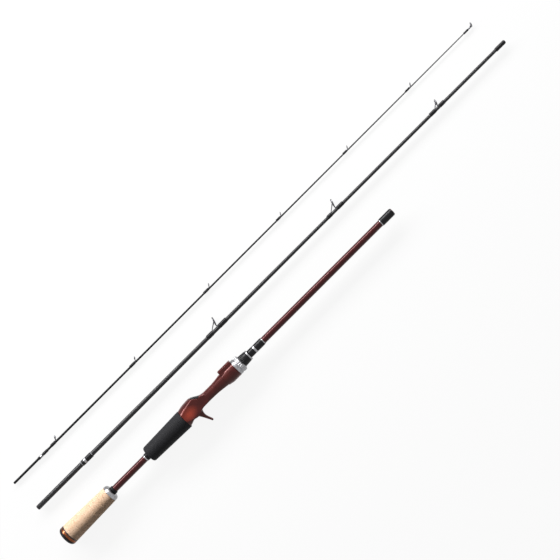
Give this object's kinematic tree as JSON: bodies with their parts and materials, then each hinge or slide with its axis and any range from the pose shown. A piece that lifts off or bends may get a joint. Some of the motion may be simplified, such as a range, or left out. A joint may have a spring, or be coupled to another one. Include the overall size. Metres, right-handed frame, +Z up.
{
  "type": "three-piece casting rod",
  "caption": "Casting rod taken apart: butt section with cork and foam grips and a trigger reel seat with screw-down hood, mid section and tip section with line guides.",
  "frame": {"origin": "middle of the three laid-out sections' outline, on the surface they lie on", "axes": "+X along the sections towards their tips, +Y towards the line guides, +Z up"},
  "size_m": [0.818, 0.1256, 0.0256],
  "materials": {
    "red_blank": "dark wine-red lacquer over carbon cloth, glossy",
    "dark_blank": "near-black lacquered carbon, spigot ground grey",
    "black_blank": "black lacquered carbon",
    "black_rubber": "moulded rubber, satin",
    "copper_ring": "copper-coloured anodised ring, brushed round",
    "dark_trim": "dark satin trim",
    "cork": "natural cork with fine dark pits, oiled",
    "polished_silver": "polished bright metal",
    "black_plastic": "black, semi-gloss",
    "foam": "closed-cell foam, fine matt grain",
    "red_seat": "burgundy translucent lacquer, glossy",
    "arbor_tape": "wound tape sleeve",
    "thread_wrap": "black thread under clear varnish",
    "light_thread": "fine light metallic thread",
    "guide_steel": "bright stainless steel wire and sheet",
    "line_ring_ceramic": "polished dark ceramic"
  },
  "bodies": {
    "butt_section": {"butt_blank": "red_blank", "end_cap": "black_rubber", "end_ring": "copper_ring", "end_trim": "dark_trim", "cork_rings": "cork", "grip_cap": "polished_silver", "grip_collar": "black_plastic", "grip_trim": "polished_silver", "grip_check": "black_plastic", "foam_grip": "foam", "seat_body": "red_seat", "hood_bezel": "dark_trim", "seat_arbors": "arbor_tape", "winding_check": "polished_silver", "butt_wraps": "thread_wrap", "butt_band": "polished_silver", "butt_trim": "polished_silver", "ferrule_trim": "polished_silver", "butt_ferrule_wrap": "thread_wrap"},
    "moving_hood": {"moving_hood": "red_seat"},
    "lock_nut": {"lock_nut": "black_plastic", "nut_ring": "polished_silver"},
    "mid_section": {"mid_blank": "dark_blank", "mid_rear_wraps": "thread_wrap", "mid_thread_lines": "light_thread", "mid_band": "polished_silver", "mid_ferrule_wrap": "thread_wrap", "mid_guide_1_frame": "guide_steel", "mid_guide_1_ring": "line_ring_ceramic", "mid_guide_1_wraps": "thread_wrap", "mid_guide_2_frame": "guide_steel", "mid_guide_2_ring": "line_ring_ceramic", "mid_guide_2_wraps": "thread_wrap", "mid_guide_3_frame": "guide_steel", "mid_guide_3_ring": "line_ring_ceramic", "mid_guide_3_wraps": "thread_wrap"},
    "tip_section": {"tip_blank": "black_blank", "tip_rear_wraps": "thread_wrap", "tip_band": "polished_silver", "tip_guide_1_frame": "guide_steel", "tip_guide_1_ring": "line_ring_ceramic", "tip_guide_1_wrap": "thread_wrap", "tip_guide_2_frame": "guide_steel", "tip_guide_2_ring": "line_ring_ceramic", "tip_guide_2_wrap": "thread_wrap", "tip_guide_3_frame": "guide_steel", "tip_guide_3_ring": "line_ring_ceramic", "tip_guide_3_wrap": "thread_wrap", "tip_guide_4_frame": "guide_steel", "tip_guide_4_ring": "line_ring_ceramic", "tip_guide_4_wrap": "thread_wrap", "tip_guide_5_frame": "guide_steel", "tip_guide_5_ring": "line_ring_ceramic", "tip_guide_5_wrap": "thread_wrap", "tip_guide_6_frame": "guide_steel", "tip_guide_6_ring": "line_ring_ceramic", "tip_guide_6_wrap": "thread_wrap", "tip_top_frame": "guide_steel", "tip_top_ring": "line_ring_ceramic", "tip_top_wrap": "thread_wrap"}
  },
  "joints": [
    {"name": "hood_slide", "type": "slide", "parent": "butt_section", "child": "moving_hood", "axis": [-1, 0, 0], "range_m": [0, 0.012]},
    {"name": "nut_spin", "type": "hinge", "parent": "moving_hood", "child": "lock_nut", "pos_m": [-0.102, -0.03685, 0.0128], "axis": [-1, 0, 0], "range_deg": [0, 2160]},
    {"name": "mid_lift", "type": "slide", "parent": "butt_section", "child": "mid_section", "axis": [0, 0, 1], "range_m": [0, 0.25]},
    {"name": "tip_lift", "type": "slide", "parent": "butt_section", "child": "tip_section", "axis": [0, 0, 1], "range_m": [0, 0.25]}
  ],
  "couplings": [
    {"joint": "nut_spin", "follows": "hood_slide", "rad_per_m": 3141.6}
  ]
}
